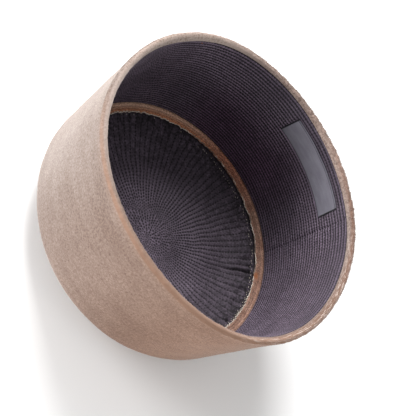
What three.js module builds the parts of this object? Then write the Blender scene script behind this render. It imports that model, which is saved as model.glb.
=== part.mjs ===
// A quilted velvet kufi, resting on its crown with the head opening up.
// Millimetres, +Z up, origin on the surface it rests on, under the middle of the crown.
// Pieces: velvet side wall with its turned rim, velvet crown, quilted side lining,
// quilted crown lining, the seam allowance that shows as a band, and a bare sewn label.

import * as THREE from "three";
import { mergeVertices } from "three/addons/utils/BufferGeometryUtils.js";

// Size of the whole hat
const RIM_RADIUS = 97;          // outside of the rim, before it is bent out of round
const HEIGHT = 103;             // crown's lowest point to the rim
const WALL_TAPER = 0.0601;      // the wall draws in by this much for each millimetre down
const REST_PATCH_RADIUS = 24;   // the crown lies flat within this radius

// Rounded corner between side and crown
const CORNER_RADIUS = 10;
const CORNER_DEPTH = 77.2;      // the corner arc's centre, below the rim

// Layers of cloth
const VELVET = 1.8;             // velvet with its pile
const GAP = 0.3;                // air between neighbouring layers
const SIDE_QUILT = 2.3;         // quilted lining of the side
const CROWN_QUILT = 1.8;        // quilted lining of the crown
const CROWN_MARGIN = 1.0;       // the same, pressed thin under the seam band
const BAND = 1.1;               // seam allowance of the velvet
const LABEL = 1.0;              // woven label with its turned ends
const WALL = VELVET + GAP + SIDE_QUILT;

// Edges and seams
const TURN_IN = 3.4;            // velvet turned over the rim, measured down the inside
const LINING_END = 80.6;       // lower edge of the side lining, below the rim
const BAND_INNER_RADIUS = 82.15;
const BAND_SHOULDER = { radius: 87.2, depth: 81.2 };   // where the band meets the side lining
const BAND_TUCK_ANGLES = [45, 60];   // degrees round the corner where the band lies on the velvet
const CROWN_LINING_RADIUS = 84.9;
const MARGIN_WIDTH = 7;         // width of the pressed edge of the crown lining

// Label, seen from the opening
const LABEL_FROM = 58.3;        // degrees from +X towards +Y
const LABEL_TO = 100.5;
const LABEL_TOP = 11.4;         // below the rim
const LABEL_BOTTOM = 27.5;

// How far the soft hat is out of round: waves round the plan, as a share of the radius
const RIM_WAVES = [
  { turns: 2, cosine: 0.0017, sine: -0.0195 },
  { turns: 3, cosine: 0.0074, sine: -0.0015 },
  { turns: 4, cosine: -0.0060, sine: -0.0072 },
];
const CROWN_WAVES = [
  { turns: 2, cosine: -0.0083, sine: 0.0025 },
  { turns: 3, cosine: -0.0022, sine: 0.0054 },
];
const RIM_LIFT = [{ turns: 2, cosine: -0.37, sine: 0.89 }];   // millimetres up and down
const ROUND_DEPTH = 86.5;       // below this the crown's own waves hold

// Fineness of the meshes
const AROUND = 72;
const DOME_STEPS = 5;
const CORNER_STEPS = 5;
const WALL_STEPS = 4;
const RIM_STEPS = 6;
const LABEL_STEPS = { along: 12, through: 1, down: 2 };

// The dome of the crown is an arc that leaves the flat patch level and runs into the corner arc.
const CORNER_CENTRE = {
  radius: RIM_RADIUS - WALL_TAPER * CORNER_DEPTH - CORNER_RADIUS * Math.hypot(1, WALL_TAPER),
  z: HEIGHT - CORNER_DEPTH,
};
const DOME_REACH = CORNER_CENTRE.radius - REST_PATCH_RADIUS;
const DOME_RADIUS =
  (DOME_REACH ** 2 + CORNER_CENTRE.z ** 2 - CORNER_RADIUS ** 2) / (2 * (CORNER_CENTRE.z - CORNER_RADIUS));
const TANGENT_ANGLE = Math.atan2(DOME_REACH, DOME_RADIUS - CORNER_CENTRE.z);
const WALL_ANGLE = Math.PI / 2 - Math.atan(WALL_TAPER);

// Points of the hat's section, each a layer's depth inside the outer surface

function onDome(inset, radius) {
  const reach = radius - REST_PATCH_RADIUS;
  if (reach <= 0) return new THREE.Vector2(radius, inset);
  return new THREE.Vector2(radius, DOME_RADIUS - Math.sqrt((DOME_RADIUS - inset) ** 2 - reach ** 2));
}

function onCorner(inset, angle) {
  const arm = CORNER_RADIUS - inset;
  return new THREE.Vector2(CORNER_CENTRE.radius + arm * Math.sin(angle), CORNER_CENTRE.z - arm * Math.cos(angle));
}

function onWall(inset, depth) {
  const radius = RIM_RADIUS - WALL_TAPER * depth - inset * Math.hypot(1, WALL_TAPER);
  return new THREE.Vector2(radius, HEIGHT - depth);
}

function steps(count, from, to) {
  return Array.from({ length: count + 1 }, (_, i) => from + ((to - from) * i) / count);
}

// Runs along one layer, from the crown outwards and up

function domeRun(inset, outerRadius) {
  const flat = [new THREE.Vector2(0, inset), onDome(inset, REST_PATCH_RADIUS)];
  const curved = steps(DOME_STEPS, REST_PATCH_RADIUS, outerRadius).slice(1);
  return [...flat, ...curved.map((radius) => onDome(inset, radius))];
}

function cornerRun(inset, fromAngle, toAngle) {
  return steps(CORNER_STEPS, fromAngle, toAngle).map((angle) => onCorner(inset, angle));
}

function wallRun(inset, fromDepth, toDepth) {
  return steps(WALL_STEPS, fromDepth, toDepth).map((depth) => onWall(inset, depth));
}

// The soft hat's real outline: every piece is bent by the same rule, so the layers stay nested

function wave(rows, angle) {
  return rows.reduce(
    (sum, row) => sum + row.cosine * Math.cos(row.turns * angle) + row.sine * Math.sin(row.turns * angle),
    0,
  );
}

function bendOutOfRound(geometry) {
  const place = geometry.attributes.position;
  for (let i = 0; i < place.count; i++) {
    const [x, y, z] = [place.getX(i), place.getY(i), place.getZ(i)];
    const angle = Math.atan2(y, x);
    const down = THREE.MathUtils.clamp((HEIGHT - z) / ROUND_DEPTH, 0, 1);
    const stretch = 1 + (1 - down) * wave(RIM_WAVES, angle) + down * wave(CROWN_WAVES, angle);
    place.setXYZ(i, x * stretch, y * stretch, z + (1 - down) * wave(RIM_LIFT, angle));
  }
  return geometry;
}

function onlyPositions(geometry) {
  geometry.deleteAttribute("normal");
  geometry.deleteAttribute("uv");
  return mergeVertices(geometry);
}

function turned(section) {
  const closed = section[0].x === 0 ? section : [...section, section[0].clone()];
  const geometry = new THREE.LatheGeometry(closed, AROUND);
  geometry.rotateX(Math.PI / 2);
  return bendOutOfRound(onlyPositions(geometry));
}

// Sections of the pieces, each listed outside first and then back along the inside

function sideVelvetSection() {
  const rimHalf = WALL / 2;
  const rimCentre = new THREE.Vector2(RIM_RADIUS - rimHalf, HEIGHT - rimHalf);
  const rim = steps(RIM_STEPS, 0, Math.PI).map(
    (angle) => new THREE.Vector2(rimCentre.x + rimHalf * Math.cos(angle), rimCentre.y + rimHalf * Math.sin(angle)),
  );
  return [
    ...cornerRun(0, TANGENT_ANGLE, WALL_ANGLE),
    ...wallRun(0, CORNER_DEPTH, rimHalf).slice(1, -1),
    ...rim,
    onWall(WALL, TURN_IN),
    ...wallRun(VELVET, TURN_IN, CORNER_DEPTH).slice(0, -1),
    ...cornerRun(VELVET, WALL_ANGLE, TANGENT_ANGLE),
  ];
}

function crownVelvetSection() {
  const seamAngle = TANGENT_ANGLE - GAP / DOME_RADIUS;
  const seamRadius = (inset) => REST_PATCH_RADIUS + (DOME_RADIUS - inset) * Math.sin(seamAngle);
  return [
    ...domeRun(0, seamRadius(0)),
    ...domeRun(VELVET, seamRadius(VELVET)).reverse(),
  ];
}

function sideLiningSection() {
  const under = VELVET + GAP;
  const lowest = Math.acos((LINING_END - CORNER_DEPTH) / (CORNER_RADIUS - under));
  return [
    onCorner(under, lowest),
    ...wallRun(under, CORNER_DEPTH, TURN_IN + GAP),
    ...wallRun(WALL, TURN_IN + GAP, LINING_END),
  ];
}

function crownLiningSection() {
  const under = VELVET + GAP;
  const pressedFrom = CROWN_LINING_RADIUS - MARGIN_WIDTH;
  return [
    ...domeRun(under, CROWN_LINING_RADIUS),
    onDome(under + CROWN_MARGIN, CROWN_LINING_RADIUS),
    onDome(under + CROWN_MARGIN, BAND_INNER_RADIUS - GAP),
    ...domeRun(under + CROWN_QUILT, pressedFrom).reverse(),
  ];
}

function seamBandSection() {
  const lower = VELVET + GAP + CROWN_MARGIN + GAP;
  return [
    onDome(lower, BAND_INNER_RADIUS),
    onDome(lower, CROWN_LINING_RADIUS),
    ...BAND_TUCK_ANGLES.map((angle) => onCorner(VELVET + GAP, THREE.MathUtils.degToRad(angle))),
    new THREE.Vector2(BAND_SHOULDER.radius, HEIGHT - BAND_SHOULDER.depth),
    onDome(lower + BAND, BAND_INNER_RADIUS),
  ];
}

// The label is a strip laid on the lining's inner face

function labelGeometry() {
  const height = LABEL_BOTTOM - LABEL_TOP;
  const arc = THREE.MathUtils.degToRad(LABEL_TO - LABEL_FROM);
  const start = THREE.MathUtils.degToRad(LABEL_FROM);
  const { along, through, down } = LABEL_STEPS;
  const strip = new THREE.BoxGeometry(arc, LABEL, height, along, through, down);
  strip.translate(start + arc / 2, WALL + GAP + LABEL / 2, 0);
  const place = strip.attributes.position;
  for (let i = 0; i < place.count; i++) {
    const angle = place.getX(i);
    const depth = (LABEL_TOP + LABEL_BOTTOM) / 2 - place.getZ(i);
    const { x: radius, y: z } = onWall(place.getY(i), depth);
    place.setXYZ(i, radius * Math.cos(angle), radius * Math.sin(angle), z);
  }
  return bendOutOfRound(onlyPositions(strip));
}

// Cloths

const velvet = { color: 0xb8a094, roughness: 0.95, metalness: 0 };
const bandVelvet = { color: 0x8a6752, roughness: 0.95, metalness: 0 };
const quilt = { color: 0x4a434e, roughness: 0.8, metalness: 0 };
const wovenTape = { color: 0x70707c, roughness: 0.6, metalness: 0 };

function piece(name, geometry, cloth) {
  const mesh = new THREE.Mesh(geometry, new THREE.MeshStandardMaterial(cloth));
  mesh.name = name;
  return mesh;
}

const kufi = new THREE.Group();
kufi.add(
  piece("side_velvet", turned(sideVelvetSection()), velvet),
  piece("crown_velvet", turned(crownVelvetSection()), velvet),
  piece("side_lining", turned(sideLiningSection()), quilt),
  piece("crown_lining", turned(crownLiningSection()), quilt),
  piece("seam_band", turned(seamBandSection()), bandVelvet),
  piece("label", labelGeometry(), wovenTape),
);

export default kufi;
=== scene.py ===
import random
from math import atan2, cos, exp, hypot, pi, radians, sin, sqrt, tau

import bmesh
import bpy
from mathutils import Matrix, Vector, noise


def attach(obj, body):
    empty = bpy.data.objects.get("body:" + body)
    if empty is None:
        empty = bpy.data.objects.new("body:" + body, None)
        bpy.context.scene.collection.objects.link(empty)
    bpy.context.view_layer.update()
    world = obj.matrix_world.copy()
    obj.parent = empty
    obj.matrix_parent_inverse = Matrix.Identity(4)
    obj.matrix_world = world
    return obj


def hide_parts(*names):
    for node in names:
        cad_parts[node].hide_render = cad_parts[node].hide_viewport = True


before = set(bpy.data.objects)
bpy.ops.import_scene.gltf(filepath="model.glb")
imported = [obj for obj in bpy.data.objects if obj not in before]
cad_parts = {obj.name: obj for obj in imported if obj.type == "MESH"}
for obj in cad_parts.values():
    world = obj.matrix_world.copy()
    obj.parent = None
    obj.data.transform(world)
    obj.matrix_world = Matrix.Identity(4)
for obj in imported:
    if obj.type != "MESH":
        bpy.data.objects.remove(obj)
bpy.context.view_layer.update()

MM = 0.001

# The kufi's sizes, as its solids have them
RIM_RADIUS = 97 * MM
HEIGHT = 103 * MM
WALL_TAPER = 0.0601
REST_PATCH_RADIUS = 24 * MM
CORNER_RADIUS = 10 * MM
CORNER_DEPTH = 77.2 * MM
VELVET = 1.8 * MM
GAP = 0.3 * MM
WALL = 4.4 * MM
CROWN_QUILT = 1.8 * MM
CROWN_MARGIN = 1.0 * MM
BAND = 1.1 * MM
TURN_IN = 3.4 * MM
LINING_END = 80.6 * MM
BAND_INNER_RADIUS = 82.15 * MM
BAND_SHOULDER = Vector((87.2, 21.8)) * MM
CROWN_LINING_RADIUS = 84.9 * MM
MARGIN_WIDTH = 7 * MM

# The label as it is sewn on: its ends round the hat, and its long edges below the rim
LABEL_FROM, LABEL_TO = radians(57.3), radians(100.4)
LABEL_TOP, LABEL_BOTTOM = 10.4 * MM, 27.5 * MM
TAPE = 0.5 * MM

# Waves that bend the soft hat out of round: turns, cosine, sine
RIM_WAVES = ((2, 0.0017, -0.0195), (3, 0.0074, -0.0015), (4, -0.0060, -0.0072))
CROWN_WAVES = ((2, -0.0083, 0.0025), (3, -0.0022, 0.0054))
RIM_LIFT = ((2, -0.37 * MM, 0.89 * MM),)
ROUND_DEPTH = 86.5 * MM

# The camera stands where the photograph's stood
CAMERA_TILT = radians(45.05)
CAMERA_ROLL = radians(29.4)
RIM_FROM_CAMERA = Vector((20.63, 18.60, -470.07)) * MM
FRAME_PIXELS = 416
FOCAL_PIXELS = 800
SENSOR = 36.0

# Soft square lights: name, direction in the camera's terms (right, up, back), watts
LIGHTS = (
    ("key", (0.4, 1, 0.4), 19),
    ("side_light", (-0.7, 0.7, 0.45), 25),
    ("low_fill", (-0.3, -1, 0.9), 7),
)
LIGHT_DISTANCE = 1.2
LIGHT_SIZE = 0.5
ROOM_LIGHT = 0.6
FLOOR_HALF_WIDTH = 3

# Quilting of the side lining: rows round the hat, wider near the rim
WIDE_ROWS, WIDE_PITCH = 4, 2.45 * MM
NARROW_ROWS = 30
SIDE_ROWS = WIDE_ROWS + NARROW_ROWS
SIDE_ROW_PITCH = 2.26           # millimetres between its rows, for the size of the holes
ROUND_STITCHES = 264
SIDE_PUFF = 0.85 * MM
LINING_SEAM = radians(51.5)

# Quilting of the crown lining: rows out from a point beside its middle
CROWN_ROWS = 96
CROWN_STITCH = 2.08 * MM
CROWN_PUFF = 0.6 * MM
STITCH_CENTRE = Vector((3.1, -3.0)) * MM
LAST_SHOWN = 82.15              # millimetres out from the middle; the band covers the rest
CROWN_SPAN = 90.0               # millimetres out from the middle that its shades are spread over
RINGS, RINGS_PER_STITCH = 118, 3

# Rows that begin further out: one in this many, and millimetres out from the middle
ROWS_BEGIN = ((8, 4.8), (4, 9.6), (2, 19.2))

# The pale row that holds the crown lining: its stitches, its place in millimetres out from the
# middle, and the sides between which the band's edge hangs over it
SEAM_STITCHES = 236
SEAM_ROW = 81.3
COVERED_FROM, COVERED_TO = radians(118), radians(210)

# Where one loose thread end shows under the rim
LOOSE_END = radians(157.8)

# Where a tuck runs in from the crown seam, and where the band has a rusty patch
PLEAT = radians(41)
RUST_PATCH = radians(39.5)

# Sides of the seam band: where its overlock thread has sunk in most, and where it is most ragged
BARE_EDGE = radians(95)
RAGGED_EDGE = radians(150)

# Sides of the rim: where the crease under its roll has the most tan and painted shade, where its
# pile stands up, where it is painted pale (painted sheen, and painted light on its shaded inner
# half), where the roll is full and where it is thin, and where its inner half alone is plump or flat
TAN_CREASE_SIDE = radians(285)
FUZZY_SIDE = radians(85)
PALE_SIDE = radians(165)
FULL_SIDE = radians(25)
THIN_SIDE = radians(118)
PLUMP_INSIDE = radians(222)
FLAT_INSIDE = radians(318)

# Side of the rim that leans in, and how far
LEANING_SIDE = radians(168)
LEAN = 1.2 * MM

# Where the rim's roll is thicker or thinner, all over or on its inner half, and where it laps over
# the lining: side, millimetres, reach along the rim
ROLL_SWELLS = ((FULL_SIDE, 0.6, 50 * MM), (THIN_SIDE, -1.05, 42 * MM), (FUZZY_SIDE, -0.3, 45 * MM))
INNER_SWELLS = ((PLUMP_INSIDE, 0.5, 22 * MM), (FLAT_INSIDE, -0.55, 40 * MM))
LAPS = ((LEANING_SIDE, 0.7, 30 * MM), (FUZZY_SIDE - radians(9), 0.55, 42 * MM))

# Columns of the strips that are rolled round the hat
SIDE_COLUMNS = 640
CROWN_COLUMNS = 320
BAND_COLUMNS = 540
THREAD_COLUMNS = 3000

# The pile: one tuft doubled this often, and how far down the wall tufts grow
TUFT_DOUBLINGS = 14
TUFTED_WALL = 74 * MM


# Points of the section

def on_dome(inset, radius):
    reach = radius - REST_PATCH_RADIUS
    if reach <= 0:
        return Vector((radius, inset))
    return Vector((radius, DOME_RADIUS - sqrt((DOME_RADIUS - inset) ** 2 - reach ** 2)))


def on_corner(inset, angle):
    arm = CORNER_RADIUS - inset
    return CORNER_CENTRE + arm * Vector((sin(angle), -cos(angle)))


def on_wall(inset, depth):
    return Vector((RIM_RADIUS - WALL_TAPER * depth - inset * hypot(1, WALL_TAPER), HEIGHT - depth))


def on_rim(angle):
    """Point of the rim's half circle: 0 is its outer side, pi its inner one."""
    half = WALL / 2
    return Vector((RIM_RADIUS - half + half * cos(angle), HEIGHT - half + half * sin(angle)))


CORNER_CENTRE = Vector((
    RIM_RADIUS - WALL_TAPER * CORNER_DEPTH - CORNER_RADIUS * hypot(1, WALL_TAPER),
    HEIGHT - CORNER_DEPTH,
))
DOME_REACH = CORNER_CENTRE.x - REST_PATCH_RADIUS
DOME_RADIUS = (DOME_REACH ** 2 + CORNER_CENTRE.y ** 2 - CORNER_RADIUS ** 2) / (
    2 * (CORNER_CENTRE.y - CORNER_RADIUS)
)
TANGENT_ANGLE = atan2(DOME_REACH, DOME_RADIUS - CORNER_CENTRE.y)
WALL_ANGLE = pi / 2 - atan2(WALL_TAPER, 1)


def steps(count, start, end):
    return [start + (end - start) * i / count for i in range(count + 1)]


def clamp(value):
    return min(1.0, max(0.0, value))


def hump(distance, width):
    """1 at no distance, falling softly to 0 beyond the width."""
    return exp(-(distance / width) ** 2)


def round_gap(angle, other):
    """Distance along the hat's side from one angle to another."""
    return ((angle - other + pi) % tau - pi) * RIM_RADIUS


def humps(rows, angle):
    """Sum of the rows' humps at this angle, in millimetres."""
    return sum(height * hump(round_gap(angle, side), reach) for side, height, reach in rows)


def wave(rows, angle):
    return sum(cosine * cos(turns * angle) + sine * sin(turns * angle) for turns, cosine, sine in rows)


def out_of_round(point):
    x, y, z = point
    angle = atan2(y, x)
    down = clamp((HEIGHT - z) / ROUND_DEPTH)
    stretch = 1 + (1 - down) * wave(RIM_WAVES, angle) + down * wave(CROWN_WAVES, angle)
    stretch -= (1 - down) * LEAN / RIM_RADIUS * hump(round_gap(angle, LEANING_SIDE), 62 * MM)
    return Vector((x * stretch, y * stretch, z + (1 - down) * wave(RIM_LIFT, angle)))


def uneven(angle, height, size, seed, radius=RIM_RADIUS):
    """Soft unevenness over the cloth, from -1 to 1, in lumps of about the given size."""
    reach = radius / size
    return noise.noise(Vector((cos(angle) * reach, sin(angle) * reach, height / size + seed)))


# Cloth, laid out flat and rolled into a ring

STILL = (0, 0, 0)


def outward(angle):
    return Vector((cos(angle), sin(angle), 0))


def around(angle):
    return Vector((-sin(angle), cos(angle), 0))


def rolled(section, marks, columns, relief):
    """A flat strip rolled round the hat's axis into a closed ring of cloth.

    Its rows follow the section. Each row's mark is the pattern's second coordinate, and the turn
    round the hat is the first. relief(angle, mark, point) gives how far a point moves outwards,
    along the ring and up.
    """
    mesh = bmesh.new()
    pattern = mesh.loops.layers.uv.new("pattern")
    rows = len(section) - 1
    bmesh.ops.create_grid(mesh, x_segments=columns, y_segments=rows, size=0.5)
    for face in mesh.faces:
        for loop in face.loops:
            spot = loop.vert.co
            loop[pattern].uv = (spot.x + 0.5, marks[round((spot.y + 0.5) * rows)])
    for vert in mesh.verts:
        row = round((vert.co.y + 0.5) * rows)
        angle = tau * (round((vert.co.x + 0.5) * columns) % columns) / columns
        out, along, up = relief(angle, marks[row], section[row])
        radius, height = section[row].x + out, section[row].y + up
        vert.co = radius * outward(angle) + along * around(angle) + Vector((0, 0, height))
    bmesh.ops.remove_doubles(mesh, verts=mesh.verts, dist=0.005 * MM)
    bmesh.ops.recalc_face_normals(mesh, faces=mesh.faces)
    return mesh


def finish_piece(mesh, name, material, replaced=None):
    for vert in mesh.verts:
        vert.co = out_of_round(vert.co)
    data = bpy.data.meshes.new(name)
    mesh.to_mesh(data)
    mesh.free()
    for face in data.polygons:
        face.use_smooth = True
    piece = bpy.data.objects.new(name, data)
    bpy.context.scene.collection.objects.link(piece)
    data.materials.append(material)
    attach(piece, "root")
    if replaced:
        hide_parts(replaced)
    return piece


# Marks along the velvet side's section, used by its relief and its colour
RIM_MARK = 1.0
INNER_MARK = 2.0
HIDDEN_MARK = 3.0


def fuzziness(angle):
    """1 where the rim's pile stands up most, 0 where it lies flat."""
    return clamp(1.5 * cos(angle - FUZZY_SIDE) - 0.5)


def side_velvet_relief(angle, mark, point):
    """Sag and pile of the wall; groove, swell and clumps of the rim's roll; its lap over the lining."""
    if mark >= HIDDEN_MARK:
        return STILL
    height = point.y
    sag = 0.4 * uneven(angle, height, 45 * MM, 3) + 0.18 * uneven(angle, height, 13 * MM, 9)
    pile = 0.07 * uneven(angle, height, 1.6 * MM, 13)
    if mark < RIM_MARK:
        swell = 0.5 * humps(ROLL_SWELLS, angle) * clamp((mark - 0.7) / 0.3)
        return ((sag * clamp(mark / 0.1) + pile + swell) * MM, 0, 0)
    over = (mark - RIM_MARK) / (INNER_MARK - RIM_MARK)
    turn = pi * over
    groove = -0.25 * hump(over - 0.23, 0.09) + 0.12 * hump(over - 0.5, 0.14)
    across = over * 4 * MM
    clump = 0.2 * uneven(angle, across, 3.2 * MM, 17) + 0.18 * uneven(angle, across, 1.6 * MM, 23)
    clump *= 0.9 + 1.5 * fuzziness(angle)
    swell = humps(ROLL_SWELLS, angle) * sin(min(turn + 0.5, pi))
    swell += humps(INNER_SWELLS, angle) * clamp((over - 0.35) / 0.25)
    lift = (groove + swell + clump) * clamp((1.25 - over) / 0.3) * MM
    lap = humps(LAPS, angle) * (clamp((over - 0.8) / 0.4) * MM)
    return (sag * MM + lift * cos(turn) - 0.8 * lap, 0, lift * sin(turn) - lap)


def side_velvet(material):
    """The velvet side as one closed strip: its outside, the rim's roll, the turned-in edge, its back."""
    rim_rows = 20
    outside = [on_corner(0, angle) for angle in steps(12, TANGENT_ANGLE, WALL_ANGLE)]
    outside += [on_wall(0, depth) for depth in steps(60, CORNER_DEPTH, WALL / 2)[1:-1]]
    rim = [on_rim(angle) for angle in steps(rim_rows, 0, pi)]
    inside = [on_wall(WALL, depth) for depth in (2.8 * MM, TURN_IN)]
    back = [on_wall(VELVET, depth) for depth in steps(6, TURN_IN, CORNER_DEPTH)[:-1]]
    back += [on_corner(VELVET, angle) for angle in steps(4, WALL_ANGLE, TANGENT_ANGLE)]
    marks = steps(len(outside) - 1, 0, 0.98) + steps(rim_rows, RIM_MARK, INNER_MARK)
    marks += [INNER_MARK + 0.1, INNER_MARK + 0.2] + [HIDDEN_MARK] * len(back) + [0]
    mesh = rolled(outside + rim + inside + back + outside[:1], marks, SIDE_COLUMNS, side_velvet_relief)
    return finish_piece(mesh, "velvet_side", material, "side_velvet")


def crown_velvet(material):
    """The velvet crown, flat where the hat rests."""
    rows = 40
    seam_angle = TANGENT_ANGLE - GAP / DOME_RADIUS
    edge = REST_PATCH_RADIUS + DOME_RADIUS * sin(seam_angle)
    inner_edge = REST_PATCH_RADIUS + (DOME_RADIUS - VELVET) * sin(seam_angle)
    outer = [on_dome(0, radius) for radius in steps(rows, 0, edge)]
    inner = [on_dome(VELVET, radius) for radius in steps(10, 0, inner_edge)][::-1]

    def relief(angle, mark, point):
        if mark < 0:
            return STILL
        away = clamp(point.x / REST_PATCH_RADIUS - 1.5)
        return (0, 0, 0.3 * MM * away * (1 + uneven(angle, point.x, 25 * MM, 31, point.x)))

    marks = steps(rows, 0, 0.9) + [-1] * len(inner)
    mesh = rolled(outer + inner, marks, CROWN_COLUMNS, relief)
    return finish_piece(mesh, "velvet_crown", material, "crown_velvet")


# Quilted linings

def row_depth(row):
    start = TURN_IN + GAP
    if row <= WIDE_ROWS:
        return start + row * WIDE_PITCH
    start += WIDE_ROWS * WIDE_PITCH
    return start + (row - WIDE_ROWS) * (LINING_END - start) / NARROW_ROWS


def puff(row):
    """Height of the padding between two stitched rows, from 0 in the stitches to 1."""
    return abs(sin(pi * row)) ** 0.6


def under_label(angle, depth):
    """1 where the label lies on the lining, falling to 0 close outside it."""
    past_end = max(round_gap(LABEL_FROM, angle), round_gap(angle, LABEL_TO))
    past_side = max(LABEL_TOP - depth, depth - LABEL_BOTTOM)
    return clamp(1 - max(past_end, past_side) / (1.5 * MM))


def side_lining_relief(angle, row, point):
    """Padding between the rows, holes in them, the rucked upright seam, and slack cloth."""
    if row < 0:
        return STILL
    height = point.y
    edge = clamp(min(row, SIDE_ROWS - row) / 0.5)
    full = puff(row) * (0.8 + 0.5 * uneven(angle, height, 16 * MM, 41))
    hole = 0.5 + 0.5 * cos(ROUND_STITCHES * angle)
    dimple = (1 - puff(row)) * hole
    from_seam = round_gap(angle, LINING_SEAM)
    seam = hump(from_seam, 0.9 * MM)
    ruck = hump(from_seam + 5 * MM, 9 * MM) * uneven(angle, height, 4.5 * MM, 47)
    rise = SIDE_PUFF * full * (1 - 0.7 * seam) - 0.35 * MM * dimple - 0.25 * MM * seam + 0.5 * MM * ruck
    rise += 0.45 * MM * uneven(angle, height, 30 * MM, 53)
    pressed = under_label(angle, HEIGHT - height)
    rise = rise * (1 - pressed) - 0.1 * MM * pressed
    waver = 0.5 * MM * uneven(angle, height, 24 * MM, 59)
    waver += 0.2 * MM * uneven(angle, row * 9 * MM, 9 * MM, 61)
    drift = 0.6 * MM * uneven(angle, height, 12 * MM, 67)
    return (-rise * edge, drift, waver * edge)


def side_lining(material):
    parts = (0, 0.16, 0.38, 0.62, 0.84)
    rows = [whole + part for whole in range(SIDE_ROWS) for part in parts] + [SIDE_ROWS]
    face = [on_wall(WALL, row_depth(row)) for row in rows]
    lowest = sqrt((CORNER_RADIUS - VELVET - GAP) ** 2 - (LINING_END - CORNER_DEPTH) ** 2)
    back = [CORNER_CENTRE + Vector((lowest, CORNER_DEPTH - LINING_END))]
    back += [on_wall(VELVET + GAP, depth) for depth in steps(6, CORNER_DEPTH, TURN_IN + GAP)]
    marks = rows + [-1] * len(back) + rows[:1]
    mesh = rolled(face + back + face[:1], marks, 2 * ROUND_STITCHES, side_lining_relief)
    return finish_piece(mesh, "quilted_side_lining", material, "side_lining")


def pleat_rise(angle, radius):
    """A tuck that runs in from the crown seam."""
    off = round_gap(angle, PLEAT) * radius / RIM_RADIUS
    off += 0.8 * MM * noise.noise(Vector((radius / MM / 5, 0, 5)))
    fold = hump(off - 2 * MM, 1.5 * MM) - 1.3 * hump(off, 1.0 * MM)
    return clamp((radius - 58 * MM) / (10 * MM)) * fold


def crown_rise(angle, radius):
    """How far the crown lining stands above its smooth shape."""
    row = CROWN_ROWS * angle / tau
    grown = clamp((radius - 4 * MM) / (30 * MM))
    tucked = clamp((BAND_INNER_RADIUS - 0.5 * MM - radius) / (3 * MM))
    full = CROWN_PUFF * puff(row) * grown * (0.8 + 0.6 * uneven(angle, radius, 14 * MM, 61, radius))
    hole = 0.5 + 0.5 * cos(tau * radius / CROWN_STITCH)
    dimple = 0.35 * MM * (1 - puff(row)) * hole * clamp(grown * 2)
    near_seam = hump(BAND_INNER_RADIUS - radius, 12 * MM)
    pucker = 0.9 * uneven(angle, 0, 4.2 * MM, 67) + 1.1 * uneven(angle, radius, 6 * MM, 71, radius)
    slack = 0.7 * MM * grown * uneven(angle, radius, 30 * MM, 73, radius)
    rise = full - dimple + slack + 0.8 * MM * pleat_rise(angle, radius)
    return (rise + 1.4 * MM * pucker * near_seam) * tucked


def crown_lining(material):
    """The quilted crown lining; its rows bend to meet beside the middle."""
    under = VELVET + GAP
    pressed = under + CROWN_MARGIN

    def top(radius):
        share = clamp((BAND_INNER_RADIUS - GAP - radius) / (MARGIN_WIDTH - 3 * MM))
        return on_dome(pressed + share * (CROWN_QUILT - CROWN_MARGIN), radius)

    rings = [CROWN_STITCH * ring / RINGS_PER_STITCH for ring in range(RINGS)]
    shown = [top(radius) for radius in rings]
    tucked = [on_dome(pressed, radius) for radius in (BAND_INNER_RADIUS, CROWN_LINING_RADIUS)]
    low = [on_dome(under, radius) for radius in steps(8, 0, CROWN_LINING_RADIUS)][::-1]
    marks = [radius / MM for radius in rings] + [LAST_SHOWN, CROWN_LINING_RADIUS / MM] + [-1] * len(low)

    def relief(angle, mark, point):
        shift = STITCH_CENTRE * (1 - (point.x / CROWN_LINING_RADIUS) ** 2)
        outwards = shift.x * cos(angle) + shift.y * sin(angle)
        along = shift.y * cos(angle) - shift.x * sin(angle)
        if mark < 0 or mark >= LAST_SHOWN:
            return (outwards, along, 0)
        grown = clamp((point.x - 4 * MM) / (20 * MM)) * clamp((LAST_SHOWN - mark) / 7)
        spread = 0.7 * MM * grown * uneven(angle, point.x, 13 * MM, 101, point.x)
        waver = 0.9 * MM * grown * uneven(angle, point.x, 16 * MM, 103, point.x)
        return (outwards + spread, along + waver, crown_rise(angle, point.x))

    mesh = rolled(shown + tucked + low, marks, 6 * CROWN_ROWS, relief)
    return finish_piece(mesh, "quilted_crown_lining", material, "crown_lining")


# Seam band: the velvet's seam allowance, overlocked along its inner edge

def band_edge(angle):
    """How far the band's loose inner edge wanders inwards and lifts."""
    ragged = 0.4 + 0.5 * clamp(cos(angle - RAGGED_EDGE))
    wander = 0.5 * uneven(angle, 0, 9 * MM, 79) + ragged * uneven(angle, 0, 2.6 * MM, 83)
    lift = 0.35 + 0.35 * uneven(angle, 0, 12 * MM, 89)
    return wander * MM, lift * MM


def seam_band(material):
    lower = VELVET + GAP + CROWN_MARGIN + GAP
    edge = on_dome(lower + BAND, BAND_INNER_RADIUS)
    across = 24
    top = [BAND_SHOULDER.lerp(edge, share) for share in steps(across, 0, 1)]
    lip = [edge + Vector(offset) * MM for offset in ((-0.35, -0.15), (-0.5, -0.5), (-0.3, -0.85))]
    below = [on_dome(lower, BAND_INNER_RADIUS + 1.5 * MM), on_dome(lower, CROWN_LINING_RADIUS)]
    below += [on_corner(VELVET + GAP, radians(angle)) for angle in (45, 60)]

    def relief(angle, mark, point):
        if mark < 0:
            return STILL
        share = min(1.0, mark)
        wander, lift = band_edge(angle)
        ribs = 0.14 * MM * sin(share * tau * 3) * clamp((1 - share) / 0.15)
        nap = 0.14 * MM * uneven(angle, share * 8 * MM, 1.8 * MM, 97)
        nap += 0.2 * MM * uneven(angle, share, 7 * MM, 99)
        return (-wander * share ** 2, 0, (ribs + nap) * clamp(share / 0.15) + lift * share ** 2)

    marks = steps(across, 0, 1) + [1.05, 1.1, 1.15] + [-1] * len(below) + [0]
    mesh = rolled(top + lip + below + top[:1], marks, BAND_COLUMNS, relief)
    return finish_piece(mesh, "seam_allowance_band", material, "seam_band")


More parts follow.
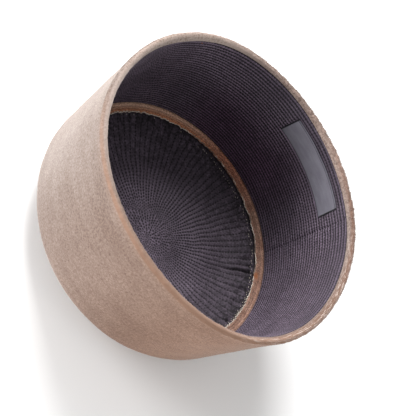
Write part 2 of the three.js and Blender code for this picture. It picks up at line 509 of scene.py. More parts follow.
def overlock_thread(material):
    """Pale thread wrapped along the band's inner edge, in small loops."""
    thick, sides = 0.31 * MM, 8
    centre = on_dome(VELVET + GAP + CROWN_MARGIN + GAP + BAND, BAND_INNER_RADIUS)
    centre += Vector((-0.35, 0.15)) * MM
    section = [centre + thick * Vector((cos(turn), sin(turn))) for turn in steps(sides, 0, tau)]

    def relief(angle, mark, point):
        wander, lift = band_edge(angle)
        loop = 200 * angle + 2.5 * uneven(angle, 0, 8 * MM, 109)
        swing = 0.3 * MM * (1.1 - 0.85 * cos(angle - BARE_EDGE))
        swing *= 1 + 0.8 * uneven(angle, 0, 5 * MM, 107)
        swell = 0.35 * uneven(angle, 0, 3 * MM, 113)
        sunk = 0.6 * MM * clamp(-4 * uneven(angle, 0, 11 * MM, 131)) * clamp(1.5 * cos(angle - BARE_EDGE))
        out, up = swell * thick * cos(tau * mark), swell * thick * sin(tau * mark)
        out += swing * cos(loop) - wander
        return (out, 0.3 * MM * sin(2 * loop), up + lift + 0.3 * MM * sin(loop) - sunk)

    mesh = rolled(section, steps(sides, 0, 1), THREAD_COLUMNS, relief)
    return finish_piece(mesh, "overlock_thread", material)


# Separate stitches and pile

def stitches(name, spots, size, material):
    """Short stitches: each spot is a place and the direction its thread runs in."""
    mesh = bmesh.new()
    for place, run in spots:
        turn = run.to_track_quat("X", "Z").to_matrix().to_4x4()
        stitch = Matrix.Translation(place) @ turn @ Matrix.Diagonal((*size, 1))
        bmesh.ops.create_uvsphere(mesh, u_segments=6, v_segments=5, radius=0.5, matrix=stitch)
    return finish_piece(mesh, name, material)


def seam_row_stitches(material):
    """The pale row that holds the crown lining, just inside the band."""
    chance = random.Random(11)
    spots = []
    for i in range(SEAM_STITCHES):
        angle = tau * (i + 0.25 * chance.uniform(-1, 1)) / SEAM_STITCHES
        strays = clamp(1.6 * cos(angle - BARE_EDGE) - 0.5)
        hidden = COVERED_FROM < angle < COVERED_TO
        if chance.random() < (0.9 if hidden else 0.06 + 0.2 * strays):
            continue
        zigzag = 0.3 * (-1) ** i * (1 - strays)
        radius = (SEAM_ROW - 2.1 * strays + zigzag + (0.2 + 0.6 * strays) * chance.uniform(-1, 1)) * MM
        height = on_dome(VELVET + GAP + 1.5 * MM, radius).y + crown_rise(angle, radius) + 0.15 * MM
        spots.append((Vector((radius * cos(angle), radius * sin(angle), height)), around(angle)))
    size = (1.15 * MM, 0.42 * MM, 0.28 * MM)
    return stitches("crown_seam_stitches", spots, size, material)


def side_seam_stitches(material):
    """Dark stitches down the side lining's upright seam."""
    chance = random.Random(13)
    spots = []
    for row in range(3, SIDE_ROWS):
        depth = row_depth(row + 0.5) + 0.3 * MM * chance.uniform(-1, 1)
        angle = LINING_SEAM + 0.5 * MM / RIM_RADIUS * chance.uniform(-1, 1)
        radius, height = on_wall(WALL + 0.1 * MM, depth)
        run = around(angle) * chance.uniform(0.3, 1) + Vector((0, 0, 1)) * chance.uniform(0.4, 1)
        spots.append((Vector((radius * cos(angle), radius * sin(angle), height)), run))
    size = (1.2 * MM, 0.4 * MM, 0.3 * MM)
    return stitches("side_seam_stitches", spots, size, material)


def loose_thread_end(material):
    """A short rust thread end that shows under the rim."""
    radius, height = on_wall(WALL + 0.5 * MM, 5.4 * MM)
    place = Vector((radius * cos(LOOSE_END), radius * sin(LOOSE_END), height))
    spots = [(place, around(LOOSE_END) + Vector((0, 0, 0.5)))]
    size = (2.2 * MM, 0.8 * MM, 0.6 * MM)
    return stitches("loose_thread_end", spots, size, material)


def pile_tufts(material):
    """Short tufts of pile that stand off the velvet, thickest over the rim."""
    mesh = bmesh.new()
    number = mesh.verts.layers.int.new("tuft")
    bmesh.ops.create_cone(mesh, cap_ends=True, segments=3, radius1=0.5, radius2=0, depth=1)
    for doubling in range(TUFT_DOUBLINGS):
        copied = bmesh.ops.duplicate(mesh, geom=mesh.verts[:] + mesh.edges[:] + mesh.faces[:])
        for part in copied["geom"]:
            if isinstance(part, bmesh.types.BMVert):
                part[number] += 2 ** doubling
    chance = random.Random(5)
    stands, colours = [], []
    for tuft in range(2 ** TUFT_DOUBLINGS):
        angle = chance.uniform(0, tau) if tuft % 3 else chance.gauss(FUZZY_SIDE, 0.7)
        if tuft % 8 < 6:
            turn = pi * chance.betavariate(1.2, 1.4)
            foot, mark = on_rim(turn), RIM_MARK + turn / pi
            lean = Vector((cos(turn), sin(turn)))
        else:
            share = chance.random()
            foot, mark = on_wall(0, WALL / 2 + TUFTED_WALL * share), 0.96 - 0.8 * share
            lean = Vector((1, 0.06))
        outwards_by, _, up_by = side_velvet_relief(angle, mark, foot)
        foot = foot + Vector((outwards_by, up_by)) - lean * 0.25 * MM
        # Half of the tufts take the pale side's colour, with its painted sheen
        colours.append((chance.choice((PALE_SIDE, angle)) / tau, mark))
        up = Vector((0, 0, 1))
        way = outward(angle) * lean.x + up * lean.y
        way += 0.6 * chance.uniform(-1, 1) * around(angle) + 0.5 * chance.uniform(-1, 1) * up
        fuzz = fuzziness(angle)
        long = (0.85 + 1.1 * fuzz) * chance.uniform(0.45, 0.95) * MM
        thick = (1 + 0.3 * fuzz) * chance.uniform(0.15, 0.3) * MM
        shape = way.to_track_quat("Z", "Y").to_matrix() @ Matrix.Diagonal((thick, thick, long))
        stands.append((outward(angle) * foot.x + up * foot.y, shape))
    for vert in mesh.verts:
        place, shape = stands[vert[number]]
        vert.co = place + shape @ (vert.co + Vector((0, 0, 0.5)))
    pattern = mesh.loops.layers.uv.new("pattern")
    for face in mesh.faces:
        for loop in face.loops:
            loop[pattern].uv = colours[loop.vert[number]]
    return finish_piece(mesh, "velvet_pile_tufts", material)


def label(material):
    """Plain tape with its short ends turned under and a line of stitches close to its edges."""
    mesh = bmesh.new()
    pattern = mesh.loops.layers.uv.new("pattern")
    bmesh.ops.create_grid(mesh, x_segments=120, y_segments=36, size=0.5)
    for face in mesh.faces:
        for loop in face.loops:
            loop[pattern].uv = (loop.vert.co.x + 0.5, loop.vert.co.y + 0.5)
    length = (LABEL_TO - LABEL_FROM) * RIM_RADIUS
    width = LABEL_BOTTOM - LABEL_TOP
    # Two layers, parted here only so that they can be told apart
    bmesh.ops.solidify(mesh, geom=mesh.faces[:], thickness=0.001)
    front = max(vert.co.z for vert in mesh.verts)
    for vert in mesh.verts:
        u, v, z = vert.co
        end = (0.5 - abs(u)) * length
        side = (0.5 - abs(v)) * width
        near = min(end, side)
        rise = 0.35 * MM * clamp((5 * MM - end) / (0.6 * MM)) + 0.12 * MM * hump(side, 0.7 * MM)
        rise -= 0.15 * MM * hump(near - 1.3 * MM, 0.4 * MM) + 0.15 * MM * hump(near, 0.35 * MM)
        rise += 0.2 * MM * noise.noise(Vector((u * 5, v * 2, 7)))
        inset = WALL + GAP + (TAPE + rise if z > front / 2 else 0)
        depth = (LABEL_TOP + LABEL_BOTTOM) / 2 - v * width
        depth += 0.25 * MM * noise.noise(Vector((u * 6, 0, 3)))
        slant = ((0.3 - 1.75 * v) * (0.5 + u) + 0.6 * v * (0.5 - u)) * MM / RIM_RADIUS
        angle = (LABEL_FROM + LABEL_TO) / 2 + u * (LABEL_TO - LABEL_FROM) + slant
        radius, height = on_wall(inset, depth)
        vert.co = (radius * cos(angle), radius * sin(angle), height)
    bmesh.ops.recalc_face_normals(mesh, faces=mesh.faces)
    return finish_piece(mesh, "label_tape", material, "label")


# Materials

def new_material(name, **finish):
    material = bpy.data.materials.new(name)
    material.use_nodes = True
    shader = material.node_tree.nodes["Principled BSDF"]
    for socket, value in finish.items():
        shader.inputs[socket.replace("_", " ")].default_value = value
    return material, material.node_tree, shader


def add(tree, kind, **values):
    node = tree.nodes.new(kind)
    for name, value in values.items():
        setattr(node, name, value)
    return node


def feed(tree, socket, value):
    """Links a socket to an output, or sets it to a number or colour."""
    if isinstance(value, bpy.types.NodeSocket):
        tree.links.new(value, socket)
    elif isinstance(value, tuple) and socket.type == "RGBA":
        socket.default_value = (*value[:3], 1)
    else:
        socket.default_value = value


def coordinates(tree):
    """Place on the hat, the piece's pattern, and the pattern's turn round the hat and mark."""
    place = add(tree, "ShaderNodeTexCoord")
    split = add(tree, "ShaderNodeSeparateXYZ")
    feed(tree, split.inputs["Vector"], place.outputs["UV"])
    return place.outputs["Object"], place.outputs["UV"], split.outputs["X"], split.outputs["Y"]


def textured(tree, vector, scale, detail=2.0, roughness=0.5):
    node = add(tree, "ShaderNodeTexNoise")
    feed(tree, node.inputs["Vector"], vector)
    feed(tree, node.inputs["Scale"], scale)
    feed(tree, node.inputs["Detail"], detail)
    feed(tree, node.inputs["Roughness"], roughness)
    return node.outputs["Fac"]


def stretched(tree, vector, scale):
    node = add(tree, "ShaderNodeMapping")
    feed(tree, node.inputs["Vector"], vector)
    feed(tree, node.inputs["Scale"], scale)
    return node.outputs["Vector"]


def ramp(tree, factor, stops):
    """Colour ramp; a stop's colour may be one number, for grey."""
    node = add(tree, "ShaderNodeValToRGB")
    while len(node.color_ramp.elements) < len(stops):
        node.color_ramp.elements.new(0.5)
    for element, (place, colour) in zip(node.color_ramp.elements, stops):
        element.position = place
        element.color = (*colour, 1) if isinstance(colour, tuple) else (colour, colour, colour, 1)
    feed(tree, node.inputs["Fac"], factor)
    return node.outputs["Color"]


def figure(tree, operation, *values):
    node = add(tree, "ShaderNodeMath", operation=operation)
    for socket, value in zip(node.inputs, values):
        feed(tree, socket, value)
    return node.outputs["Value"]


def times(tree, first, second):
    return figure(tree, "MULTIPLY", first, second)


def from_nearest(tree, value):
    """Distance from the nearest whole number."""
    return figure(tree, "ABSOLUTE", figure(tree, "SUBTRACT", value, figure(tree, "ROUND", value)))


def blended(tree, factor, first, second, kind="MIX"):
    node = add(tree, "ShaderNodeMix", data_type="RGBA", blend_type=kind)
    colours = [socket for socket in node.inputs if socket.type == "RGBA"]
    for socket, value in zip([node.inputs[0], *colours], (factor, first, second)):
        feed(tree, socket, value)
    return next(socket for socket in node.outputs if socket.type == "RGBA")


def paint(*srgb):
    """Linear colour of an sRGB one given in 0 to 255."""
    return tuple(((part / 255 + 0.055) / 1.055) ** 2.4 for part in srgb)


def roughen(tree, shader, height, strength, distance):
    node = add(tree, "ShaderNodeBump")
    feed(tree, node.inputs["Strength"], strength)
    feed(tree, node.inputs["Distance"], distance)
    feed(tree, node.inputs["Height"], height)
    tree.links.new(node.outputs["Normal"], shader.inputs["Normal"])


def facing(tree, turn, side):
    """1 on one side of the hat, falling softly to 0 on the opposite side."""
    away = figure(tree, "COSINE", figure(tree, "SUBTRACT", times(tree, turn, tau), side))
    return figure(tree, "ADD", times(tree, away, 0.5), 0.5)


def on_side(tree, turn, side, stops):
    return ramp(tree, facing(tree, turn, side), stops)


# Colours of the velvet
VELVET_SHEEN = paint(236, 228, 222)
GREY_ROSE, BROWN_ROSE = paint(112, 101, 95), paint(130, 99, 81)
PILE_ROOTS, PILE_TIPS = paint(122, 100, 91), paint(192, 171, 160)
# Painted sheen of the rim's pale side: darker on its lit crest, lighter on its shaded inner half (painted
# light)
SHEEN_PAINTED_OUTSIDE, SHEEN_PAINTED_CREST = paint(156, 140, 131), paint(165, 149, 140)
SHEEN_PAINTED_INSIDE = paint(194, 178, 168)
LIFTED_SHADE_ROSE, RUDDY_ROSE, NEAR_ROSE = paint(188, 171, 162), paint(119, 84, 67), paint(139, 112, 97)
PAINTED_SHADE_DIM, DUSKY = (0.7, 0.73, 0.75), (0.78, 0.77, 0.78)
LINT, SHADED_CREASE_TAN, SHADED_TAN = paint(216, 204, 196), paint(143, 112, 94), paint(98, 76, 66)

# Colours of the quilted linings
PLUM, PALE_PLUM = paint(84, 74, 86), paint(103, 92, 105)
ROW_THREAD_AND_SHADE, STITCH_DIMPLE_SHADE, FOLD_SHADOW = paint(38, 28, 37), paint(9, 5, 9), paint(14, 9, 13)
CROWN_SHADE, SIDE_SHADE = paint(24, 16, 23), paint(44, 38, 47)
NEAR_TINT, DEEP_SHADE_TINT, LIT_TINT = (1.33, 1.3, 1.32), (0.96, 0.68, 0.88), (1.22, 1.24, 1.24)

# Colours of the seam band
BAND_DARK, BAND_LIGHT = paint(119, 87, 73), paint(152, 121, 107)
RUDDY_DARK, RUDDY_LIGHT = paint(112, 65, 47), paint(180, 117, 92)
LIT_OUTER, LIT_INNER = paint(200, 163, 140), paint(188, 127, 92)
RUST = paint(138, 82, 46)

# Colours of the threads, light and dark, and of the label
OVERLOCK = paint(236, 228, 216), paint(188, 176, 162)
SEWING = paint(212, 202, 188), paint(160, 148, 134)
DARK_THREAD = paint(40, 32, 40), paint(20, 15, 20)
RUST_THREAD = paint(190, 118, 62), paint(140, 78, 36)
SUNK_THREAD_SHADE = paint(62, 48, 46)
SLATE, PALE_SLATE, LABEL_SEAM_AND_SHADOW = paint(150, 147, 159), paint(167, 164, 176), paint(26, 21, 29)

# Parts of the velvet's section, as ramps: 0 is its lower edge outside, 0.5 where the rim's roll
# begins and 1 its turned-in edge
ROLL = ((0.49, 0.0), (0.51, 1.0))
CREST = ((0.6, 0.0), (0.68, 1.0), (0.84, 1.0), (0.95, 0.0))
CREASE = ((0.475, 0.0), (0.56, 0.85), (0.64, 0.85), (0.73, 0.1), (0.85, 0.1))

# Patches of colour on the rim: side, reach round the hat, part of the section, colour and blend
ROSE_PATCHES = (
    # Lighter inner half by the plump side: painted light lifting the shade there
    (PLUMP_INSIDE, ((0.9, 0.0), (0.99, 0.9)), ((0.67, 0.0), (0.88, 1.0)), LIFTED_SHADE_ROSE, "MIX"),
    (FULL_SIDE, ((0.7, 0.0), (0.95, 0.8)), CREST, RUDDY_ROSE, "MIX"),
    (TAN_CREASE_SIDE + radians(35), ((0.7, 0.0), (0.95, 0.7)), CREST, NEAR_ROSE, "MIX"),
    # Inner half darkened on the full side: painted shade
    (FULL_SIDE, ((0.85, 0.0), (0.96, 1.0)), ((0.62, 0.0), (0.8, 1.0)), PAINTED_SHADE_DIM, "MULTIPLY"),
    (THIN_SIDE, ((0.93, 0.0), (0.99, 0.8)), ROLL, DUSKY, "MULTIPLY"),
)
TAN_PATCHES = (
    # Tan in the crease under the roll: painted shade of the crease, tinted tan
    (TAN_CREASE_SIDE, ((0.68, 0.0), (0.97, 0.95)), CREASE, SHADED_CREASE_TAN, "MIX"),
    (TAN_CREASE_SIDE + radians(50), ((0.7, 0.0), (0.97, 1.0)), ((0.78, 0.0), (0.9, 0.65)), SHADED_TAN, "MIX"),
)


def patched(tree, base, turn, over, patches):
    for side, reach, part, colour, blend in patches:
        there = times(tree, on_side(tree, turn, side, reach), ramp(tree, over, part))
        base = blended(tree, there, base, colour, blend)
    return base


def velvet_material():
    material, tree, shader = new_material(
        "rose_taupe_velvet", Roughness=0.9, Specular_IOR_Level=0.15,
        Sheen_Weight=0.35, Sheen_Roughness=0.4, Sheen_Tint=(*VELVET_SHEEN, 1),
    )
    spot, cloth, turn, mark = coordinates(tree)
    over = times(tree, mark, 0.5)
    grain = textured(tree, spot, 900, 4, 0.75)
    streaks = textured(tree, stretched(tree, spot, (26, 26, 150)), 1, 4, 0.65)
    patches = textured(tree, spot, 26, 2)
    # Greyer towards the pale side, browner away from it: painted sheen of the side the light falls on
    brown = on_side(tree, turn, PALE_SIDE + radians(50), ((0.35, 1.0), (1.0, 0.0)))
    base = blended(tree, brown, GREY_ROSE, BROWN_ROSE)
    patches = times(tree, patches, 0.4)
    shades = figure(tree, "ADD", times(tree, streaks, 0.6), patches)
    shades = ramp(tree, shades, ((0.35, (0.4, 0.37, 0.35)), (0.65, (0.6, 0.62, 0.63))))
    base = blended(tree, 0.7, base, shades, "OVERLAY")
    grains = ramp(tree, grain, ((0.25, (0.17, 0.1, 0.07)), (0.75, (0.84, 0.9, 0.93))))
    base = blended(tree, 0.8, base, grains, "OVERLAY")

    fuzzy = on_side(tree, turn, FUZZY_SIDE - radians(8), ((0.68, 0.0), (0.9, 0.9)))
    mottles = textured(tree, spot, 700, 3, 0.7)
    mottles = ramp(tree, mottles, ((0.36, PILE_ROOTS), (0.64, PILE_TIPS)))
    # Lighter on the roll's outer side and darker on its inner half: painted sheen and painted shade
    roll_light_and_shade = ramp(tree, over, ((0.52, 1.25), (0.7, 1.1), (0.95, 0.85)))
    mottles = blended(tree, 1.0, mottles, roll_light_and_shade, "MULTIPLY")
    base = blended(tree, times(tree, fuzzy, ramp(tree, over, ROLL)), base, mottles)

    # Pale side of the rim: painted sheen, darker on the lit crest and lighter on the shaded inner half, a
    # painted lift of that shade
    sheen_side_mask = on_side(tree, turn, PALE_SIDE, ((0.82, 0.1), (0.97, 0.85)))
    rolled_over = ramp(tree, over, ((0.56, 0.0), (0.74, 1.0)))
    smooth = ramp(tree, over, ((0.6, SHEEN_PAINTED_OUTSIDE), (0.8, SHEEN_PAINTED_CREST), (0.95, SHEEN_PAINTED_INSIDE)))
    base = blended(tree, times(tree, sheen_side_mask, rolled_over), base, smooth)
    specks = textured(tree, spot, 760, 3, 0.75)
    specks = ramp(tree, specks, ((0.36, (0.4, 0.31, 0.25)), (0.5, 1.0), (0.64, 1.05)))
    speckled = on_side(tree, turn, PALE_SIDE + radians(25), ((0.75, 0.0), (0.95, 0.9)))
    spread = ramp(tree, over, ((0.2, 0.25), (0.49, 0.4), (0.52, 1.0)))
    base = blended(tree, times(tree, speckled, spread), base, specks, "MULTIPLY")
    base = patched(tree, base, turn, over, ROSE_PATCHES)

    lint = textured(tree, stretched(tree, cloth, (90, 15, 1)), 1, 3, 0.7)
    linty = on_side(tree, turn, FULL_SIDE - radians(25), ((0.82, 0.0), (0.97, 0.78)))
    lint = times(tree, ramp(tree, lint, ((0.52, 0.0), (0.62, 1.0))), linty)
    near_rim = ramp(tree, over, ((0.482, 0.0), (0.505, 1.0)))
    base = blended(tree, times(tree, lint, near_rim), base, LINT)
    base = patched(tree, base, turn, over, TAN_PATCHES)
    tree.links.new(base, shader.inputs["Base Color"])
    roughen(tree, shader, grain, 0.45, 0.4 * MM)
    return material


def quilting(tree, across, along, row_pitch, stitch_pitch, spot, line, hole_size):
    """Colour and weave of quilted cloth, with its stitches' holes.

    across and along are the distances from the nearest row and the nearest hole, as shares of
    the pitches, which are in millimetres. line is how dark the thread and the painted shade of
    its valley are between the holes; the holes, painted dark as shade in the stitches' dimples,
    have a radius of about hole_size.
    """
    across = times(tree, across, row_pitch)
    along = times(tree, along, stitch_pitch)
    squares = figure(tree, "ADD", figure(tree, "POWER", across, 2.0), figure(tree, "POWER", along, 2.0))
    wear = textured(tree, spot, 420, 2)
    reach = figure(tree, "ADD", figure(tree, "SQRT", squares), times(tree, wear, 0.6))
    hole = ramp(tree, figure(tree, "SUBTRACT", reach, hole_size), ((0.3, 1.0), (0.65, 0.0)))
    thread = ramp(tree, across, ((0.2, 1.0), (0.75, 0.0)))
    weave = textured(tree, spot, 900, 3, 0.7)
    tone = textured(tree, spot, 35, 3)
    base = ramp(tree, tone, ((0.3, PLUM), (0.7, PALE_PLUM)))
    base = blended(tree, 0.9, base, ramp(tree, weave, ((0.3, 0.1), (0.7, 0.9))), "OVERLAY")
    # Dark along the rows: the thread, and painted shade in the valleys between the puffs
    base = blended(tree, times(tree, thread, line), base, ROW_THREAD_AND_SHADE)
    # Dark dots at the stitches: painted shade in their dimples
    base = blended(tree, times(tree, hole, 0.95), base, STITCH_DIMPLE_SHADE)
    return base, weave


def crease_shadows(tree, spot, out, turn):
    """Painted shade in the crown lining: in the puckers along its seam, in one tuck that runs in from it,
    and just under the band's edge.
    """
    wander = textured(tree, spot, 120, 3, 0.6)
    folds = figure(tree, "ABSOLUTE", figure(tree, "SUBTRACT", wander, 0.5))
    folds = ramp(tree, folds, ((0.012, 1.0), (0.06, 0.0)))
    near_seam = ramp(tree, out, ((0.68, 0.0), (0.84, 0.7), (0.88, 1.0)))
    tuck = figure(tree, "SUBTRACT", turn, PLEAT / tau)
    tuck = figure(tree, "ADD", tuck, times(tree, figure(tree, "SUBTRACT", wander, 0.5), 0.012))
    tuck = ramp(tree, figure(tree, "ABSOLUTE", tuck), ((0.0008, 1.0), (0.003, 0.0)))
    tuck = times(tree, tuck, ramp(tree, out, ((0.68, 0.0), (0.78, 0.9))))
    bare = on_side(tree, turn, BARE_EDGE, ((0.6, 0.3), (0.9, 1.0)))
    # Painted shadow just under the band's edge, darkest on the bare edge's side
    under_band = times(tree, ramp(tree, out, ((0.9, 0.0), (0.912, 0.9))), bare)
    dark = figure(tree, "MAXIMUM", times(tree, folds, near_seam), tuck)
    return figure(tree, "MAXIMUM", dark, under_band)


def crown_quilting(tree, spot, _, turn, mark):
    """Rows sewn outwards from the middle, with the crown's painted light and shade and the painted shade
    of its folds.
    """
    out = figure(tree, "DIVIDE", mark, CROWN_SPAN)
    ragged = times(tree, figure(tree, "SUBTRACT", textured(tree, spot, 70, 2), 0.5), 18.0)
    reached = figure(tree, "ADD", mark, ragged)
    count = CROWN_ROWS / ROWS_BEGIN[0][0]
    for one_in, start in ROWS_BEGIN:
        begun = figure(tree, "GREATER_THAN", reached, start)
        count = figure(tree, "ADD", times(tree, begun, CROWN_ROWS / one_in), count)
    row_pitch = figure(tree, "DIVIDE", times(tree, mark, tau), count)
    rows = times(tree, turn, count)
    alternate = figure(tree, "PINGPONG", figure(tree, "ROUND", rows), 1.0)
    middle = ramp(tree, out, ((0.2, 0.5), (0.5, 0.0)))
    holes = times(tree, mark, MM / CROWN_STITCH)
    shifted = figure(tree, "ADD", holes, times(tree, alternate, middle))
    across, along = from_nearest(tree, rows), from_nearest(tree, shifted)
    widest = ramp(tree, out, ((0.3, 0.52), (0.6, 0.4)))
    hole_size = figure(tree, "MINIMUM", widest, times(tree, row_pitch, 0.28))
    base, weave = quilting(tree, across, along, row_pitch, CROWN_STITCH / MM, spot, 0.35, hole_size)
    # Lighter near the middle: painted light
    pale = ramp(tree, out, ((0.1, 1.15), (0.2, 0.97), (0.6, 0.93)))
    base = blended(tree, 1.0, base, pale, "MULTIPLY")
    # Darker on the side towards the bare edge and lighter opposite, half way out: painted shadow of the
    # rim and painted light
    painted_side_shadow = ((0.35, 1.3), (0.55, 1.1), (0.75, 1.0), (0.95, 0.84))
    painted_side_shadow = on_side(tree, turn, BARE_EDGE - radians(20), painted_side_shadow)
    half_way = ramp(tree, out, ((0.15, 0.0), (0.28, 1.0), (0.72, 1.0), (0.85, 0.4)))
    base = blended(tree, half_way, base, painted_side_shadow, "MULTIPLY")
    # Darker towards the seam: painted shade
    shade = ramp(tree, out, ((0.3, 0.0), (0.6, 0.45), (0.83, 0.55)))
    base = blended(tree, shade, base, CROWN_SHADE)
    # Patches lighter and darker in the outer part: painted light and shade of rumpled cloth
    rumple_shading = ramp(tree, textured(tree, spot, 260, 3, 0.65), ((0.35, 0.55), (0.65, 1.4)))
    rumpled = ramp(tree, out, ((0.45, 0.0), (0.65, 0.8)))
    base = blended(tree, rumpled, base, rumple_shading, "MULTIPLY")
    # Painted shade of the folds, the tuck and the gap under the band
    folds = times(tree, crease_shadows(tree, spot, out, turn), 0.85)
    base = blended(tree, folds, base, FOLD_SHADOW)
    return base, weave


def side_quilting(tree, spot, cloth, turn, mark):
    """Rows sewn round the hat, with the side's tints."""
    down = figure(tree, "DIVIDE", mark, SIDE_ROWS)
    slip = textured(tree, stretched(tree, cloth, (14, 1.3, 1)), 1, 1)
    slip = times(tree, slip, 1.6)
    holes = figure(tree, "ADD", times(tree, turn, ROUND_STITCHES), slip)
    across, along = from_nearest(tree, mark), from_nearest(tree, holes)
    stitch_pitch = tau * RIM_RADIUS / MM / ROUND_STITCHES
    base, weave = quilting(tree, across, along, SIDE_ROW_PITCH, stitch_pitch, spot, 0.9, 0.6)
    # Darker and more purple deep down on the far side: painted shade
    deep = ramp(tree, down, ((0.22, 0.0), (0.65, 1.0)))
    far = on_side(tree, turn, BARE_EDGE + radians(10), ((0.9, 0.0), (0.98, 1.0)))
    tint = blended(tree, times(tree, deep, far), NEAR_TINT, DEEP_SHADE_TINT)
    base = blended(tree, 1.0, base, tint, "MULTIPLY")
    lit = on_side(tree, turn, FULL_SIDE - radians(10), ((0.85, 0.0), (0.95, 1.0)))
    deepest = ramp(tree, down, ((0.45, 0.0), (0.75, 1.0)))
    base = blended(tree, times(tree, lit, deepest), base, LIT_TINT, "MULTIPLY")
    edge = ramp(tree, down, ((0.05, 0.5), (0.3, 0.0)))
    lower = on_side(tree, turn, LINING_SEAM, ((0.45, 0.0), (0.7, 1.0)))
    base = blended(tree, times(tree, edge, lower), base, SIDE_SHADE)
    return base, weave


def quilt_material(name, sewn):
    """Dark lining cloth, with the colour and weave that its way of sewing gives."""
    material, tree, shader = new_material(
        name, Roughness=0.7, Specular_IOR_Level=0.2, Sheen_Weight=0.08, Sheen_Roughness=0.5,
    )
    base, weave = sewn(tree, *coordinates(tree))
    tree.links.new(base, shader.inputs["Base Color"])
    roughen(tree, shader, weave, 0.35, 0.3 * MM)
    return material


def band_material():
    material, tree, shader = new_material(
        "tan_seam_velvet", Roughness=0.95, Specular_IOR_Level=0.1, Sheen_Weight=0.2, Sheen_Roughness=0.5,
    )
    spot, _, turn, mark = coordinates(tree)
    grain = textured(tree, spot, 1500, 3, 0.7)
    tone = textured(tree, spot, 160, 3)
    base = ramp(tree, tone, ((0.3, BAND_DARK), (0.7, BAND_LIGHT)))
    waver = times(tree, figure(tree, "SUBTRACT", tone, 0.5), 0.1)
    across = figure(tree, "ADD", mark, waver)
    stripes = ((0.05, 0.45), (0.2, 0.62), (0.42, 0.34), (0.55, 0.5), (0.68, 0.3), (0.85, 0.52))
    ribs = ramp(tree, across, stripes)
    ruddy = on_side(tree, turn, BARE_EDGE + radians(20), ((0.86, 0.0), (0.98, 0.8)))
    rust = ramp(tree, grain, ((0.3, RUDDY_DARK), (0.7, RUDDY_LIGHT)))
    base = blended(tree, ruddy, base, rust)
    lit = on_side(tree, turn, PALE_SIDE - radians(15), ((0.85, 0.0), (0.97, 0.7)))
    pale = ramp(tree, across, ((0.3, LIT_OUTER), (0.8, LIT_INNER)))
    base = blended(tree, lit, base, pale)
    base = blended(tree, 0.85, base, ribs, "OVERLAY")
    base = blended(tree, 1.0, base, ramp(tree, grain, ((0.32, 0.08), (0.68, 0.94))), "OVERLAY")
    beside = figure(tree, "ABSOLUTE", figure(tree, "SUBTRACT", turn, RUST_PATCH / tau))
    ragged = times(tree, waver, 4.0)
    beside = figure(tree, "ADD", times(tree, beside, 100.0), ragged)
    rusty = ramp(tree, beside, ((0.3, 0.8), (0.65, 0.0)))
    edge = ramp(tree, mark, ((0.45, 0.0), (0.62, 1.0)))
    base = blended(tree, times(tree, rusty, edge), base, RUST)
    tree.links.new(base, shader.inputs["Base Color"])
    roughen(tree, shader, grain, 0.7, 0.4 * MM)
    return material


def thread_material(name, light, dark, sunk_side=None):
    """Twisted thread, darker here and there with painted shade on the side where it has sunk into the
    cloth's edge.
    """
    material, tree, shader = new_material(name, Roughness=0.6, Specular_IOR_Level=0.3)
    spot, _, turn, _ = coordinates(tree)
    twist = textured(tree, spot, 900, 2)
    base = ramp(tree, twist, ((0.35, dark), (0.65, light)))
    if sunk_side is not None:
        # Darker patches on the sunk side: painted shade
        sunk = ramp(tree, textured(tree, spot, 130, 2), ((0.44, 1.0), (0.54, 0.0)))
        bare = on_side(tree, turn, sunk_side, ((0.75, 0.0), (0.92, 0.85)))
        base = blended(tree, times(tree, sunk, bare), base, SUNK_THREAD_SHADE)
    tree.links.new(base, shader.inputs["Base Color"])
    roughen(tree, shader, twist, 0.4, 0.15 * MM)
    return material


def label_material():
    material, tree, shader = new_material(
        "slate_label_tape", Roughness=0.5, Specular_IOR_Level=0.35, Sheen_Weight=0.1, Sheen_Roughness=0.4,
    )
    _, cloth, along, across = coordinates(tree)
    weave = textured(tree, stretched(tree, cloth, (60, 260, 1)), 1, 2)
    tone = textured(tree, cloth, 6, 2)
    base = ramp(tree, tone, ((0.3, SLATE), (0.7, PALE_SLATE)))
    base = blended(tree, 0.4, base, ramp(tree, weave, ((0.3, 0.35), (0.7, 0.65))), "OVERLAY")
    # Dark ends: painted shadow of the turned-under ends; the lines along the long edges are sewn
    ends = ramp(tree, along, ((0.012, 1.0), (0.02, 0.0), (0.98, 0.0), (0.988, 1.0)))
    base = blended(tree, ends, base, LABEL_SEAM_AND_SHADOW)
    lower = ramp(tree, across, ((0.02, 0.9), (0.045, 0.0)))
    sewn_line = ((0.885, 0.0), (0.905, 0.8), (0.925, 0.15), (0.965, 0.2), (0.985, 1.0))
    upper = ramp(tree, across, sewn_line)
    base = blended(tree, figure(tree, "MAXIMUM", lower, upper), base, LABEL_SEAM_AND_SHADOW)
    tree.links.new(base, shader.inputs["Base Color"])
    roughen(tree, shader, weave, 0.3, 0.2 * MM)
    return material


def floor_material():
    material, tree, shader = new_material("pale_floor", Roughness=0.9, Specular_IOR_Level=0.1)
    tone = textured(tree, coordinates(tree)[0], 3, 2)
    tree.links.new(ramp(tree, tone, ((0.3, 0.9), (0.7, 0.93))), shader.inputs["Base Color"])
    return material


# Floor, lights and camera

def lay_floor():
    mesh = bmesh.new()
    bmesh.ops.create_grid(mesh, x_segments=1, y_segments=1, size=FLOOR_HALF_WIDTH)
    data = bpy.data.meshes.new("floor")
    mesh.to_mesh(data)
    mesh.free()
    ground = bpy.data.objects.new("floor", data)
    bpy.context.scene.collection.objects.link(ground)
    data.materials.append(floor_material())


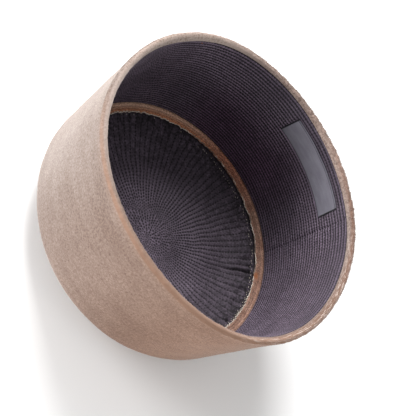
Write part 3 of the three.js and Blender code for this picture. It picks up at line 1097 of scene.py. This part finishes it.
def seen_from_camera():
    """Turns a direction in the camera's terms (right, up, back) into one in the hat's."""
    rising = Vector((
        sin(CAMERA_TILT) * cos(CAMERA_ROLL), sin(CAMERA_TILT) * sin(CAMERA_ROLL), cos(CAMERA_TILT),
    ))
    across = Vector((sin(CAMERA_ROLL), -cos(CAMERA_ROLL), 0))
    return Matrix((across, rising.cross(across), rising))


def set_camera():
    data = bpy.data.cameras.new("photo_camera")
    data.sensor_width = SENSOR
    data.lens = SENSOR * FOCAL_PIXELS / FRAME_PIXELS
    camera = bpy.data.objects.new("photo_camera", data)
    bpy.context.scene.collection.objects.link(camera)
    turn = seen_from_camera()
    stand = Vector((0, 0, HEIGHT)) - turn @ RIM_FROM_CAMERA
    camera.matrix_world = Matrix.Translation(stand) @ turn.to_4x4()
    bpy.context.scene.camera = camera


def set_light(name, direction, watts):
    data = bpy.data.lights.new(name, "AREA")
    data.size = LIGHT_SIZE
    data.energy = watts
    light = bpy.data.objects.new(name, data)
    bpy.context.scene.collection.objects.link(light)
    way = (seen_from_camera() @ Vector(direction)).normalized()
    light.location = Vector((0, 0, HEIGHT / 2)) + way * LIGHT_DISTANCE
    light.rotation_mode = "QUATERNION"
    light.rotation_quaternion = way.to_track_quat("Z", "Y")


def light_the_room():
    world = bpy.data.worlds.new("studio")
    world.use_nodes = True
    background = world.node_tree.nodes["Background"]
    background.inputs["Color"].default_value = (1, 1, 1, 1)
    background.inputs["Strength"].default_value = ROOM_LIGHT
    bpy.context.scene.world = world
    for name, direction, watts in LIGHTS:
        set_light(name, direction, watts)
    bpy.context.scene.view_settings.view_transform = "Standard"


velvet = velvet_material()

side = side_velvet(velvet)
crown = crown_velvet(velvet)
quilted_side = side_lining(quilt_material("side_quilting", side_quilting))
quilted_crown = crown_lining(quilt_material("crown_quilting", crown_quilting))
band = seam_band(band_material())
tape = label(label_material())
overlock_thread(thread_material("pale_thread", *OVERLOCK, sunk_side=BARE_EDGE - radians(15)))
seam_row_stitches(thread_material("sewing_thread", *SEWING))
side_seam_stitches(thread_material("dark_thread", *DARK_THREAD))
loose_thread_end(thread_material("rust_thread", *RUST_THREAD))
pile_tufts(velvet)

lay_floor()
set_camera()
light_the_room()
